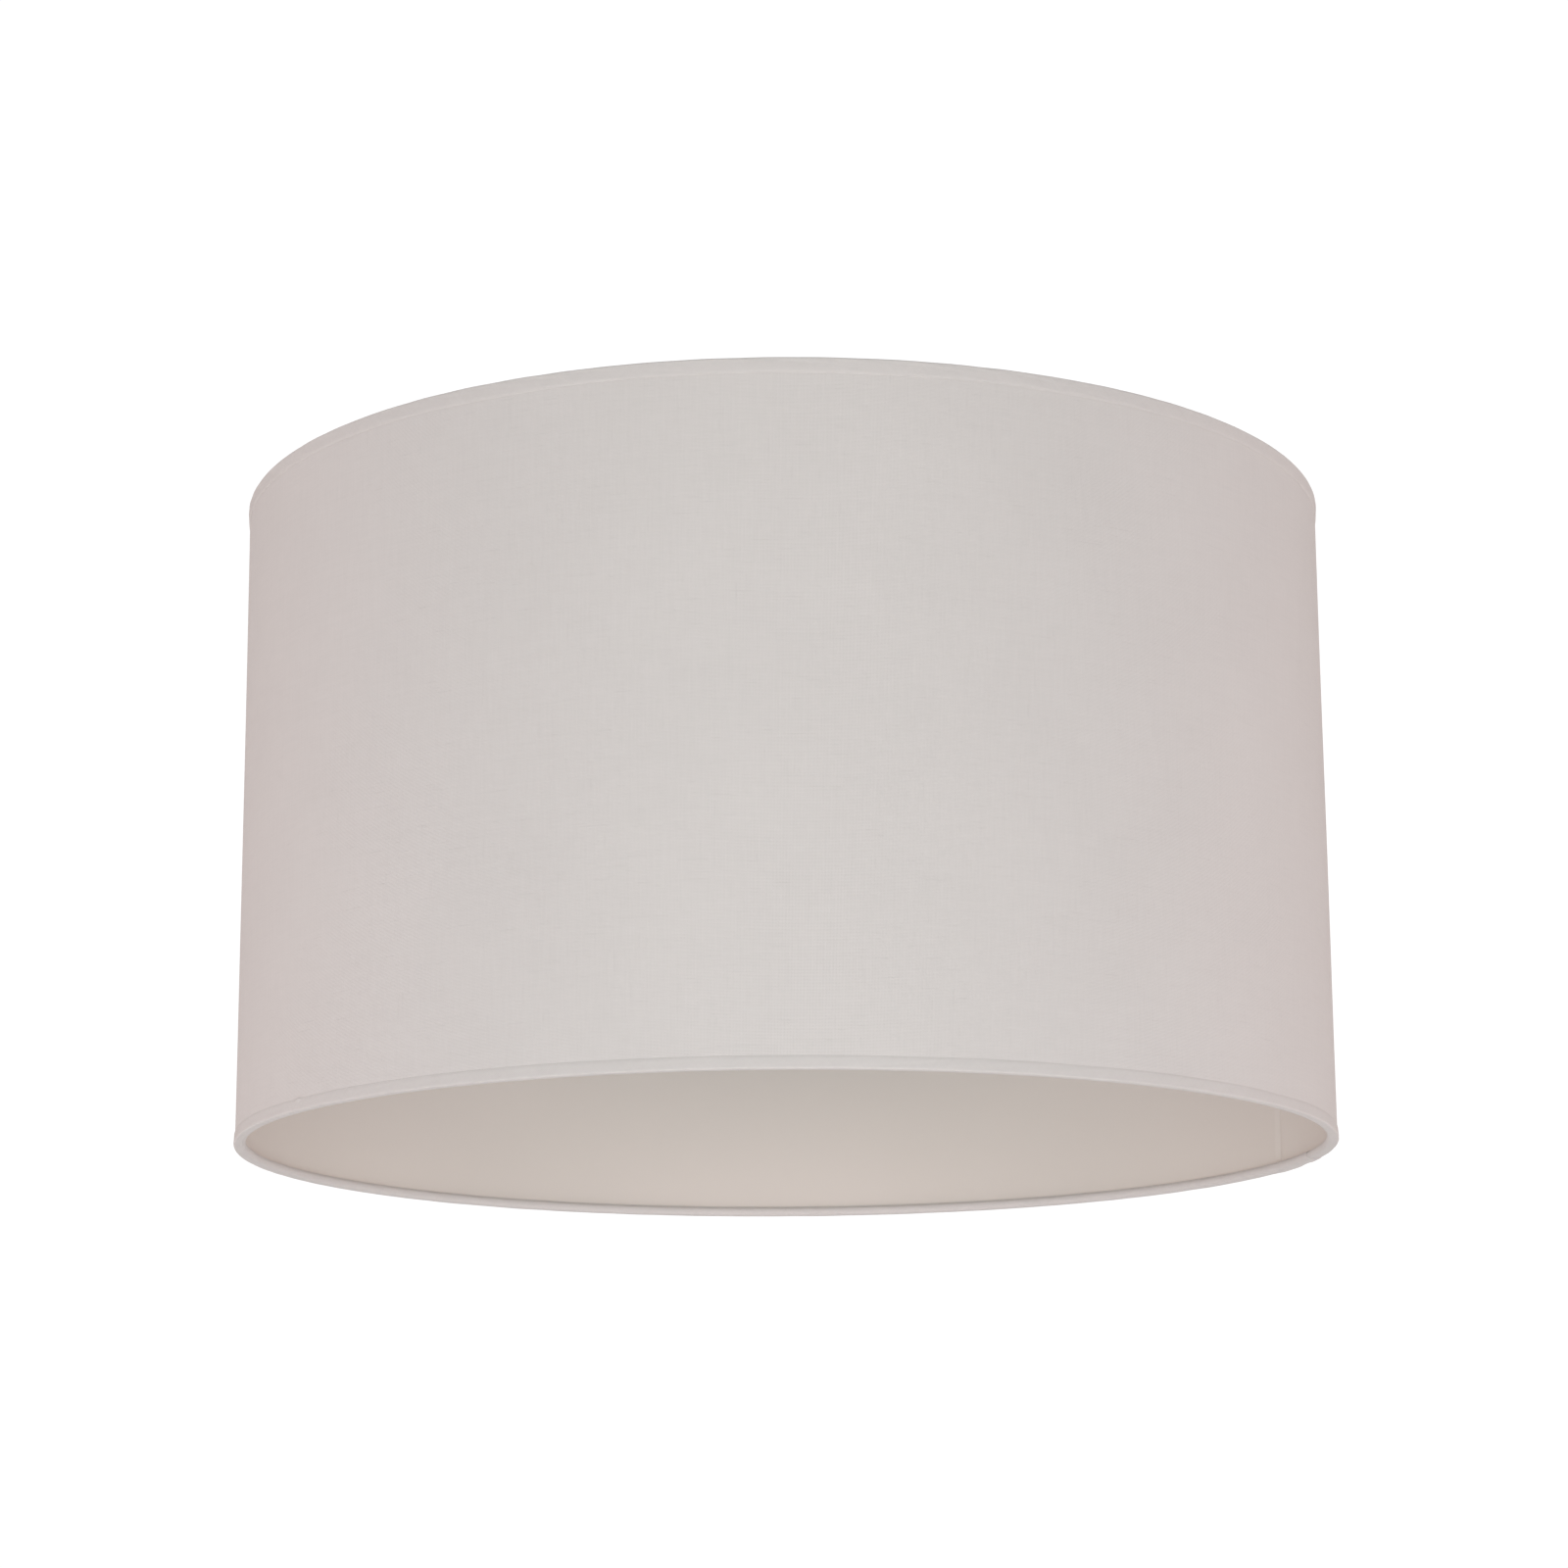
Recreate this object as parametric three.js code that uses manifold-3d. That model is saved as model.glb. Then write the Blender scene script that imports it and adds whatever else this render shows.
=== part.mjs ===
// A drum lamp shade, built as a hardback shade is: cloth laminated on a stiff plastic liner,
// rolled into a tube and closed by a taped lap seam. A wire ring stiffens each rim under a
// cloth edging, and a three-armed wire spider under the top ring holds a pressed carrier ring
// with a loose plastic reducer for the lampholder.
// Millimetres, +Z up. The origin is the centre of the bottom rim's lowest face.
import * as THREE from 'three';
import Module from 'manifold-3d';
import { mergeVertices } from 'three/addons/utils/BufferGeometryUtils.js';

const wasm = await Module();
wasm.setup();

// ---------------------------------------------------------------- driving dimensions
const OUTER_DIAMETER = 400;
const HEIGHT = 237;

const COVER_CLOTH = 0.4;
const LINER_SHEET = 0.35;
const EDGING_CLOTH = 0.45;
const GLUE = 0.05; // room for the glue between two bonded layers
const CLEARANCE = 0.3; // room between two pieces that are welded or only laid together

const RING_WIRE = 2.5;
const RING_ROOM = 0.12; // around the ring wire, inside the edging
const RIM_CORNER = 1.0; // outer radius of the edging where it turns under the rim
const BOTTOM_LEG = 4.2; // how far the edging comes up the outside of the bottom rim
const TOP_LEG = 5.2; // and down the outside of the top rim

const SEAM_AT = 17; // degrees from +X towards +Y
const SEAM_LAP = 10;
const SEAM_RAMP = 6; // the length over which the outer end climbs onto the inner one
const SEAM_TAPE = 0.15;
const TAPE_ROOM = 0.1; // on each face of the tape
const TAPE_INSET = 0.8; // from the tape's edges to the ends of the lap
const EDGING_HOLD = 0.8; // the edging stays lifted this far past the end of the lap

const ARM_COUNT = 3;
const FIRST_ARM_AT = 90; // degrees from +X
const ARM_WIRE = 3.2;
const ARM_BEND = 8; // radius of the wire's centre line where it turns up to the top ring
const CARRIER_DROP = 25; // from the top rim down to the carrier ring's seat
const CARRIER_OUTER = 60; // diameters
const CARRIER_HOLE = 42;
const CARRIER_PLATE = 1.5;
const ARM_UNDERLAP = 5; // how far each arm reaches in under the carrier ring

const REDUCER_HOLE = 29; // diameter
const REDUCER_FLANGE = 50; // diameter
const REDUCER_PLATE = 1.6; // thickness of the flange
const REDUCER_STEP = 1.3; // depth of the step that drops into the carrier ring's hole
const REDUCER_ROOM = 0.05; // under the flange

const FACET_STEP = 5; // degrees between the facets of the shade
const RING_SIDES = 8;
const ARM_SIDES = 10;
const BEND_STEPS = 6;
const CARRIER_SIDES = 48;
const BEAD_STEPS = 6;
const SAME_PLACE = 1e-4; // vertices nearer than this are one vertex

// ---------------------------------------------------------------- places worked out from them
const OUTER = OUTER_DIAMETER / 2;
const COVER_FACE = OUTER - EDGING_CLOTH - GLUE; // outer face of the cover
const LINER_FACE = COVER_FACE - COVER_CLOTH - GLUE; // outer face of the liner
const INNER_FACE = LINER_FACE - LINER_SHEET; // the inside of the shade
const RING_RADIUS = INNER_FACE - RING_ROOM - RING_WIRE / 2; // the ring's centre line
const BEAD = RING_WIRE / 2 + RING_ROOM + EDGING_CLOTH; // radius of the edging round the ring
const WALL_END = RIM_CORNER + GLUE; // from a rim's face to the end of the wall
const LAP_LIFT = LINER_SHEET + GLUE + COVER_CLOTH + SEAM_TAPE + 2 * TAPE_ROOM;

const CARRIER_TOP = HEIGHT - CARRIER_DROP;
const CARRIER_BOTTOM = CARRIER_TOP - CARRIER_PLATE;
const ARM_LEVEL = CARRIER_BOTTOM - CLEARANCE - ARM_WIRE / 2;
const LEG_RADIUS = INNER_FACE - CLEARANCE - ARM_WIRE / 2;
const LEG_TOP = HEIGHT - BEAD - RING_WIRE / 2 - CLEARANCE;
const NOTCH_REACH = INNER_FACE - LEG_RADIUS + COVER_CLOTH; // out from the leg, past the liner
const NOTCH_SIZE = [2 * BEAD + NOTCH_REACH, ARM_WIRE + 2 * CLEARANCE, 2 * BEAD];
const NOTCH_TOP = LEG_TOP + CLEARANCE; // level with the underside of the ring

const degrees = (angle) => THREE.MathUtils.degToRad(angle);
const arcDegrees = (length) => THREE.MathUtils.radToDeg(length / OUTER);

const LAP_START = SEAM_AT - arcDegrees(SEAM_LAP) / 2;
const LAP_END = SEAM_AT + arcDegrees(SEAM_LAP) / 2;
const RAMP_START = LAP_START - arcDegrees(SEAM_RAMP);
const HOLD_END = LAP_END + arcDegrees(EDGING_HOLD);
const FALL_END = HOLD_END + arcDegrees(SEAM_RAMP);

// ---------------------------------------------------------------- helpers

// Every piece of the wall and the rims has its facets at these angles, so nested faces stay
// parallel: even steps, and the seam's own edges.
function facetAngles() {
  const angles = [RAMP_START, LAP_START, LAP_END, HOLD_END, FALL_END];
  for (let angle = 0; angle < 360; angle += FACET_STEP) {
    if (angle < RAMP_START || angle > FALL_END) {
      angles.push(angle);
    }
  }
  return angles.sort((a, b) => a - b);
}

// Merges shared vertices and drops the triangles that this leaves empty, so that a geometry is
// one closed body.
function closed(geometry) {
  geometry.deleteAttribute('normal');
  geometry.deleteAttribute('uv');
  const merged = mergeVertices(geometry, SAME_PLACE);
  const index = merged.index.array;
  const kept = [];
  for (let i = 0; i < index.length; i += 3) {
    const [a, b, c] = [index[i], index[i + 1], index[i + 2]];
    if (a !== b && b !== c && c !== a) {
      kept.push(a, b, c);
    }
  }
  merged.setIndex(kept);
  merged.computeVertexNormals();
  return merged;
}

function solid(geometry) {
  return new wasm.Manifold(new wasm.Mesh({
    numProp: 3,
    vertProperties: new Float32Array(geometry.attributes.position.array),
    triVerts: new Uint32Array(geometry.index.array),
  }));
}

function fromSolid(body) {
  const mesh = body.getMesh();
  const geometry = new THREE.BufferGeometry();
  geometry.setAttribute('position', new THREE.BufferAttribute(mesh.vertProperties, 3));
  geometry.setIndex(new THREE.BufferAttribute(mesh.triVerts, 1));
  geometry.computeVertexNormals();
  return geometry;
}

// Turns a closed (radius, height) outline round +Z with its columns at the given angles.
// outward(angle, radius) moves a point out from the axis, which makes room for the seam.
function turned(outline, angles, outward = () => 0) {
  const loop = [...outline, outline[0]];
  const geometry = new THREE.LatheGeometry(loop, angles.length);
  const position = geometry.attributes.position;
  for (let column = 0; column <= angles.length; column += 1) {
    const angle = angles[column % angles.length];
    for (let row = 0; row < loop.length; row += 1) {
      const { x, y } = loop[row];
      const radius = x + outward(angle, x);
      const at = column * loop.length + row;
      position.setXYZ(at, radius * Math.cos(degrees(angle)), radius * Math.sin(degrees(angle)), y);
    }
  }
  return closed(geometry);
}

// Points of an arc in the (radius, height) plane, angles in degrees.
function arcPoints(centre, radius, from, to, steps) {
  const points = [];
  for (let i = 0; i <= steps; i += 1) {
    const angle = degrees(from + ((to - from) * i) / steps);
    points.push(new THREE.Vector2(
      centre.x + radius * Math.cos(angle),
      centre.y + radius * Math.sin(angle),
    ));
  }
  return points;
}

// ---------------------------------------------------------------- the wall of the shade

// How far the wall's outer end is lifted at an angle counted on from LAP_START.
function endLift(angle) {
  const climbed = (angle - 360 - RAMP_START) / (LAP_START - RAMP_START);
  return LAP_LIFT * THREE.MathUtils.clamp(climbed, 0, 1);
}

// One sheet of the wall: a strip that runs once round the shade and laps over its own start.
function wallSheet(outerFace, thickness) {
  const once = facetAngles().filter((angle) => angle > LAP_START);
  const before = facetAngles().filter((angle) => angle <= LAP_START);
  const angles = [LAP_START, ...once, ...before.map((angle) => angle + 360), LAP_END + 360];
  const side = (radius) => angles.map((angle) => {
    const out = radius + endLift(angle);
    return new THREE.Vector2(out * Math.cos(degrees(angle)), out * Math.sin(degrees(angle)));
  });
  const outline = [...side(outerFace), ...side(outerFace - thickness).reverse()];
  const depth = HEIGHT - 2 * WALL_END;
  const geometry = new THREE.ExtrudeGeometry(new THREE.Shape(outline), { depth, bevelEnabled: false });
  return closed(geometry).translate(0, 0, WALL_END);
}

// The double-sided tape between the two ends of the lap.
function tapeStrip() {
  const inner = COVER_FACE + TAPE_ROOM;
  const inset = arcDegrees(TAPE_INSET);
  const ends = [LAP_START + inset, LAP_END - inset];
  const corner = (radius, angle) => new THREE.Vector2(
    radius * Math.cos(degrees(angle)),
    radius * Math.sin(degrees(angle)),
  );
  const outline = [
    corner(inner + SEAM_TAPE, ends[0]),
    corner(inner + SEAM_TAPE, ends[1]),
    corner(inner, ends[1]),
    corner(inner, ends[0]),
  ];
  const clear = WALL_END + TAPE_INSET;
  const depth = HEIGHT - 2 * clear;
  const geometry = new THREE.ExtrudeGeometry(new THREE.Shape(outline), { depth, bevelEnabled: false });
  return closed(geometry).translate(0, 0, clear);
}

// ---------------------------------------------------------------- the rims

function rimRing(height) {
  const centre = new THREE.Vector2(RING_RADIUS, height);
  const half = 180 / RING_SIDES;
  const outline = arcPoints(centre, RING_WIRE / 2, half, 360 + half, RING_SIDES).slice(0, -1);
  return turned(outline, facetAngles());
}

// One face of the edging's section at the bottom rim: down the outside, under the rim, and
// round the ring until it meets the liner. inset is the depth of the face in the cloth.
function edgingFace(leg, inset) {
  const corner = new THREE.Vector2(OUTER - RIM_CORNER, RIM_CORNER);
  const ring = new THREE.Vector2(RING_RADIUS, BEAD);
  const meeting = THREE.MathUtils.radToDeg(Math.acos((INNER_FACE - GLUE - RING_RADIUS) / BEAD));
  return [
    new THREE.Vector2(OUTER - inset, leg),
    ...arcPoints(corner, RIM_CORNER - inset, 0, -90, 2),
    ...arcPoints(ring, BEAD - inset, -90, -360 + meeting, BEAD_STEPS),
  ];
}

// The edging's outer leg rides over the lap seam; the part round the ring doesn't.
function seamLift(angle, radius) {
  if (radius < OUTER - RIM_CORNER) {
    return 0;
  }
  const up = (angle - RAMP_START) / (LAP_START - RAMP_START);
  const down = (FALL_END - angle) / (FALL_END - HOLD_END);
  return LAP_LIFT * THREE.MathUtils.clamp(Math.min(up, down), 0, 1);
}

function edgingOutline(leg) {
  return [...edgingFace(leg, EDGING_CLOTH), ...edgingFace(leg, 0).reverse()];
}

function bottomEdging() {
  return turned(edgingOutline(BOTTOM_LEG), facetAngles(), seamLift);
}

// The top edging is turned over, and has a notch snipped in it at each spider arm.
function topEdging() {
  const outline = edgingOutline(TOP_LEG).reverse();
  const flipped = outline.map((point) => new THREE.Vector2(point.x, HEIGHT - point.y));
  let body = solid(turned(flipped, facetAngles(), seamLift));
  for (const angle of armAngles()) {
    const notch = closed(new THREE.BoxGeometry(...NOTCH_SIZE));
    notch.translate(LEG_RADIUS - NOTCH_SIZE[0] / 2 + NOTCH_REACH, 0, NOTCH_TOP - NOTCH_SIZE[2] / 2);
    notch.rotateZ(degrees(angle));
    body = body.subtract(solid(notch));
  }
  return fromSolid(body);
}

// ---------------------------------------------------------------- the spider

function armAngles() {
  return Array.from({ length: ARM_COUNT }, (_, i) => FIRST_ARM_AT + (360 / ARM_COUNT) * i);
}

// A wire that runs out from under the carrier ring along +X and turns up to the top ring.
function spiderArm() {
  const bendStart = new THREE.Vector3(LEG_RADIUS - ARM_BEND, 0, ARM_LEVEL);
  const bendEnd = new THREE.Vector3(LEG_RADIUS, 0, ARM_LEVEL + ARM_BEND);
  const points = [new THREE.Vector3(CARRIER_OUTER / 2 - ARM_UNDERLAP, 0, ARM_LEVEL), bendStart];
  for (let i = 1; i < BEND_STEPS; i += 1) {
    const angle = (Math.PI / 2) * (i / BEND_STEPS);
    points.push(new THREE.Vector3(
      bendStart.x + ARM_BEND * Math.sin(angle),
      0,
      bendEnd.z - ARM_BEND * Math.cos(angle),
    ));
  }
  points.push(bendEnd, new THREE.Vector3(LEG_RADIUS, 0, LEG_TOP));
  return wireAlong(points, ARM_WIRE, ARM_SIDES);
}

// A path that an extrusion follows with one section at each of its points.
class WirePath extends THREE.Curve {
  constructor(points) {
    super();
    this.points = points;
  }

  indexAt(along) {
    return Math.round(along * (this.points.length - 1));
  }

  getPointAt(along) {
    return this.points[this.indexAt(along)].clone();
  }

  getTangentAt(along) {
    const last = this.points.length - 1;
    const i = this.indexAt(along);
    const heading = (from, to) => this.points[to].clone().sub(this.points[from]).normalize();
    const into = heading(Math.max(i, 1) - 1, Math.max(i, 1));
    const outOf = heading(Math.min(i, last - 1), Math.min(i, last - 1) + 1);
    return into.add(outOf).normalize();
  }
}

// A round wire along straight stretches between points.
function wireAlong(points, diameter, sides) {
  const corners = Array.from({ length: sides }, (_, i) => {
    const angle = degrees((360 / sides) * i);
    return new THREE.Vector2((diameter / 2) * Math.cos(angle), (diameter / 2) * Math.sin(angle));
  });
  return closed(new THREE.ExtrudeGeometry(new THREE.Shape(corners), {
    steps: points.length - 1,
    extrudePath: new WirePath(points),
  }));
}

function annulus(outline) {
  const angles = Array.from({ length: CARRIER_SIDES }, (_, i) => (360 / CARRIER_SIDES) * i);
  return turned(outline.map(([radius, height]) => new THREE.Vector2(radius, height)), angles);
}

function carrierRing() {
  return annulus([
    [CARRIER_HOLE / 2, CARRIER_BOTTOM],
    [CARRIER_OUTER / 2, CARRIER_BOTTOM],
    [CARRIER_OUTER / 2, CARRIER_TOP],
    [CARRIER_HOLE / 2, CARRIER_TOP],
  ]);
}

// A stepped plastic washer: the flange lies on the carrier ring, the step drops into its hole.
function reducerRing() {
  const seat = CARRIER_TOP + REDUCER_ROOM;
  return annulus([
    [REDUCER_HOLE / 2, seat - REDUCER_STEP],
    [CARRIER_HOLE / 2 - CLEARANCE, seat - REDUCER_STEP],
    [CARRIER_HOLE / 2 - CLEARANCE, seat],
    [REDUCER_FLANGE / 2, seat],
    [REDUCER_FLANGE / 2, seat + REDUCER_PLATE],
    [REDUCER_HOLE / 2, seat + REDUCER_PLATE],
  ]);
}

// ---------------------------------------------------------------- materials and assembly
const material = (color, roughness, metalness = 0) => new THREE.MeshStandardMaterial({
  color,
  roughness,
  metalness,
});
const clothLook = material(0xd3ccc9, 0.9);
const edgingLook = material(0xcec5c2, 0.9);
const linerLook = material(0xe6dfda, 0.55);
const tapeLook = material(0xe9e4d8, 0.6);
const ringLook = material(0xb9bab8, 0.45, 0.9);
const spiderLook = material(0xf1f0ec, 0.4, 0.1);
const reducerLook = material(0xf4f3ef, 0.45);

const shade = new THREE.Group();

function addPiece(name, geometry, look) {
  const mesh = new THREE.Mesh(geometry, look);
  mesh.name = name;
  shade.add(mesh);
  return mesh;
}

addPiece('fabric_cover', wallSheet(COVER_FACE, COVER_CLOTH), clothLook);
addPiece('liner', wallSheet(LINER_FACE, LINER_SHEET), linerLook);
addPiece('seam_tape', tapeStrip(), tapeLook);
addPiece('bottom_ring', rimRing(BEAD), ringLook);
addPiece('top_ring', rimRing(HEIGHT - BEAD), ringLook);
addPiece('bottom_edging', bottomEdging(), edgingLook);
addPiece('top_edging', topEdging(), edgingLook);
armAngles().forEach((angle, i) => {
  addPiece(`spider_arm_${i + 1}`, spiderArm(), spiderLook).rotation.z = degrees(angle);
});
addPiece('carrier_ring', carrierRing(), spiderLook);
addPiece('reducer_ring', reducerRing(), reducerLook);

export default shade;
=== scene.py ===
"""A drum lamp shade: a laminated cloth wall with a lap seam, cloth-edged wire rims and a wire spider.

Everything is in metres in the frame's own axes: +Z up along the shade's axis, the front towards -Y,
and the origin at the centre of the bottom rim.
"""

import math

import bpy
import numpy as np
from mathutils import Matrix, Vector


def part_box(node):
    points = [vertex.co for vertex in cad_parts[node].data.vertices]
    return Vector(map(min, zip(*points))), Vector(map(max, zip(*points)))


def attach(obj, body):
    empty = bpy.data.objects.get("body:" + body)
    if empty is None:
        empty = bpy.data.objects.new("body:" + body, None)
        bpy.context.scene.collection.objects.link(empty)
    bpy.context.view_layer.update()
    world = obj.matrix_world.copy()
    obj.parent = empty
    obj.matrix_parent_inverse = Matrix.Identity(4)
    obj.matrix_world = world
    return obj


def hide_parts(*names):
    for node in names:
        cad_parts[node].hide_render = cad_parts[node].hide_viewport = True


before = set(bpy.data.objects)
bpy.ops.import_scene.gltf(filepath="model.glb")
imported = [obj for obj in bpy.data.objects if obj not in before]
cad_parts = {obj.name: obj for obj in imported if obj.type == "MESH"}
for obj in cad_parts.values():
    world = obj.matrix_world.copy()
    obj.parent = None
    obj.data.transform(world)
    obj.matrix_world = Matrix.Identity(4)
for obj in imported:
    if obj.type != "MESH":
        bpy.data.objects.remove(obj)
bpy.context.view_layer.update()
MM = 0.001


# ---------------------------------------------------------------- sizes, from the frame
SHADE, REDUCER = "shade", "reducer"

_, edging_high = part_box("bottom_edging")
top_low, top_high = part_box("top_edging")
cover_low, cover_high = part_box("fabric_cover")
_, liner_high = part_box("liner")
ring_low, ring_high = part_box("bottom_ring")
tape_low, tape_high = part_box("seam_tape")
arm_low, arm_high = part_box("spider_arm_1")  # the arm that points to +Y
carrier_low, carrier_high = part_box("carrier_ring")
reducer_low, reducer_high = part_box("reducer_ring")

OUTER = edging_high.x
HEIGHT = top_high.z
BOTTOM_LEG = edging_high.z
TOP_LEG = HEIGHT - top_low.z
COVER_FACE = cover_high.x
LINER_FACE = liner_high.x
COVER_CLOTH = 0.40 * MM
LINER_SHEET = 0.35 * MM
EDGING_CLOTH = 0.40 * MM
INNER_FACE = LINER_FACE - LINER_SHEET

RING_WIRE = 2.4 * MM
RING_RADIUS = ring_high.x - (ring_high.z - ring_low.z) / 2
BEAD = RING_WIRE / 2 + EDGING_CLOTH + 0.03 * MM  # the edging's radius round the ring
RIM_CORNER = 0.65 * MM
LEG_LEAN = 0.22 * MM  # how far the edging's leg leans in, towards its raw edge

SEAM_AT = math.atan2(tape_high.y + tape_low.y, tape_high.x + tape_low.x)
LAP = 10 * MM
LAP_RAMP = 6 * MM
LAP_LIFT = 0.98 * MM
OUTER_END = SEAM_AT - LAP / 2 / OUTER  # of the wall, on the outside of the lap
INNER_END = SEAM_AT + LAP / 2 / OUTER  # and on the inside of it
RAMP_END = INNER_END + LAP_RAMP / OUTER
HOLD_START = OUTER_END - 0.8 * MM / OUTER  # the edging climbs up to here before the lap
EDGING_JOIN = SEAM_AT - 26 * MM / OUTER  # the outer end of the bottom edging strip
EDGING_OVERLAP = 9 * MM / OUTER  # of the strip's outer end on its hidden one
TUCK_AT = math.radians(214.5)  # where the bottom edging's raw edge stands up a little

ARM_WIRE = 3.2 * MM
ARM_BEND = 8 * MM
LEG_RADIUS = arm_high.y - ARM_WIRE / 2
ARM_START = arm_low.y
ARM_LEVEL = arm_low.z + ARM_WIRE / 2

FULL_TURN = 2 * math.pi


# ---------------------------------------------------------------- mesh helpers
def unit(vectors):
    return vectors / np.maximum(np.linalg.norm(vectors, axis=-1, keepdims=True), 1e-12)


def smooth_step(low, high, values):
    share = np.clip((np.asarray(values, float) - low) / (high - low), 0, 1)
    return share * share * (3 - 2 * share)


def turn_from(place, angle):
    """The turn from place to angle, within half a turn either way."""
    return np.mod(angle - place + math.pi, FULL_TURN) - math.pi


def new_piece(name, points, faces, body, sharp_over=50):
    """A closed mesh; faces is a list of arrays, each of faces with the same number of corners."""
    points = np.asarray(points, float)
    volume = 0.0
    for part in faces:
        for second in range(1, part.shape[1] - 1):
            a, b, c = (points[part[:, k]] for k in (0, second, second + 1))
            volume += np.einsum("ij,ij->", a, np.cross(b, c))
    if volume < 0:  # inside out
        faces = [part[:, ::-1] for part in faces]
    mesh = bpy.data.meshes.new(name)
    mesh.from_pydata(points.tolist(), [], [face for part in faces for face in part.tolist()])
    mesh.validate()
    mesh.polygons.foreach_set("use_smooth", [True] * len(mesh.polygons))
    mesh.set_sharp_from_angle(angle=math.radians(sharp_over))
    mesh.update()
    piece = bpy.data.objects.new(name, mesh)
    bpy.context.scene.collection.objects.link(piece)
    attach(piece, body)
    return piece


def grid_quads(first, rows, columns, wrap_rows=False, wrap_columns=False):
    """Quads of a grid of points that are numbered row by row from first."""
    i = np.arange(rows if wrap_rows else rows - 1)[:, None]
    j = np.arange(columns if wrap_columns else columns - 1)[None, :]
    next_i, next_j = (i + 1) % rows, (j + 1) % columns
    quads = [i * columns + j, next_i * columns + j, next_i * columns + next_j, i * columns + next_j]
    return first + np.stack(np.broadcast_arrays(*quads), axis=-1).reshape(-1, 4)


def closed_sheet(name, middle, thickness, cloth_at, body, nose_steps=3):
    """A closed sheet with rounded edges, round a grid of points on its middle surface.

    cloth_at holds each grid point's place in the flat cut, which the weave follows.
    """
    rows, columns = middle.shape[:2]
    along = np.gradient(middle, axis=0)
    across = np.gradient(middle, axis=1)
    normal = unit(np.cross(along, across))
    half = np.broadcast_to(np.asarray(thickness, float), (rows, columns))[..., None] / 2
    border = [(i, 0) for i in range(rows)] + [(rows - 1, j) for j in range(1, columns)]
    border += [(i, columns - 1) for i in range(rows - 2, -1, -1)]
    border += [(0, j) for j in range(columns - 2, 0, -1)]
    bi, bj = np.array(border).T
    outward = unit(along)[bi, bj] * (1.0 * (bi == rows - 1) - (bi == 0))[:, None]
    outward = outward + unit(across)[bi, bj] * (1.0 * (bj == columns - 1) - (bj == 0))[:, None]
    outward = unit(outward)
    noses = []
    for step in range(nose_steps):
        tilt = math.pi / 2 - math.pi * (step + 1) / (nose_steps + 1)
        out = outward * math.cos(tilt) + normal[bi, bj] * math.sin(tilt)
        noses.append(middle[bi, bj] + out * half[bi, bj])
    front, back = middle + normal * half, middle - normal * half
    points = np.concatenate([front.reshape(-1, 3), back.reshape(-1, 3), *noses])
    size = rows * columns
    ends = [bi * columns + bj]
    ends += [2 * size + step * len(border) + np.arange(len(border)) for step in range(nose_steps)]
    ends += [size + bi * columns + bj]
    faces = [grid_quads(0, rows, columns), grid_quads(size, rows, columns)[:, ::-1]]
    for upper, lower in zip(ends, ends[1:]):
        faces.append(np.stack([upper, lower, np.roll(lower, -1), np.roll(upper, -1)], axis=-1))
    piece = new_piece(name, points, faces, body)
    flat = cloth_at.reshape(-1, 2)
    flat = np.concatenate([flat, flat, *[cloth_at[bi, bj]] * nose_steps])
    stored = piece.data.attributes.new("cloth", "FLOAT_VECTOR", "POINT")
    stored.data.foreach_set("vector", np.pad(flat, ((0, 0), (0, 1))).ravel())
    return piece


def turned(name, profile, columns, body):
    """A closed (radius, height) profile turned round +Z."""
    angles = np.arange(columns) * FULL_TURN / columns
    radius, height = np.array(profile).T
    points = np.stack(
        [
            np.cos(angles)[:, None] * radius,
            np.sin(angles)[:, None] * radius,
            np.broadcast_to(height, (columns, len(height))),
        ],
        axis=-1,
    )
    faces = grid_quads(0, columns, len(profile), wrap_rows=True, wrap_columns=True)
    return new_piece(name, points.reshape(-1, 3), [faces], body)


def rounded(profile, radius, steps=4):
    """The outline with each corner turned into an arc of about that radius."""
    points = [Vector(point) for point in profile]
    out = []
    for i, corner in enumerate(points):
        before, after = points[i - 1] - corner, points[(i + 1) % len(points)] - corner
        cut = min(radius, before.length / 2.2, after.length / 2.2)
        start, end = corner + before.normalized() * cut, corner + after.normalized() * cut
        for step in range(steps + 1):
            t = step / steps
            point = start * (1 - t) ** 2 + corner * 2 * t * (1 - t) + end * t**2
            out.append((point.x, point.y))
    return out


# ---------------------------------------------------------------- the shape that all layers share
def wander(angle, z):
    """How far the wall strays from a true cylinder: slightly out of round, with soft waves between
    the rings."""
    angle, z = np.broadcast_arrays(np.asarray(angle, float), np.asarray(z, float))
    belly = np.sin(np.pi * np.clip(z / HEIGHT, 0, 1))
    round_out = 0.16 * np.sin(2 * angle + 0.7) + 0.07 * np.sin(3 * angle + 2.1)
    waves = 0.10 * np.sin(5 * angle + 1.3) + 0.06 * np.sin(9 * angle + 0.4 + 6 * z / HEIGHT)
    waves = waves + 0.04 * np.sin(17 * angle + 9 * z / HEIGHT)
    return (round_out + belly * (waves - 0.12)) * MM


def wall_angles():
    """From the wall's outer end round to its inner end, closer together where it comes down."""
    return np.concatenate(
        [
            np.linspace(OUTER_END, RAMP_END, 36, endpoint=False),
            np.linspace(RAMP_END, INNER_END + FULL_TURN, 600),
        ]
    )


def wall_lift(angle):
    return LAP_LIFT * (1 - smooth_step(INNER_END + 0.3 * MM / OUTER, RAMP_END, angle))


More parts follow.
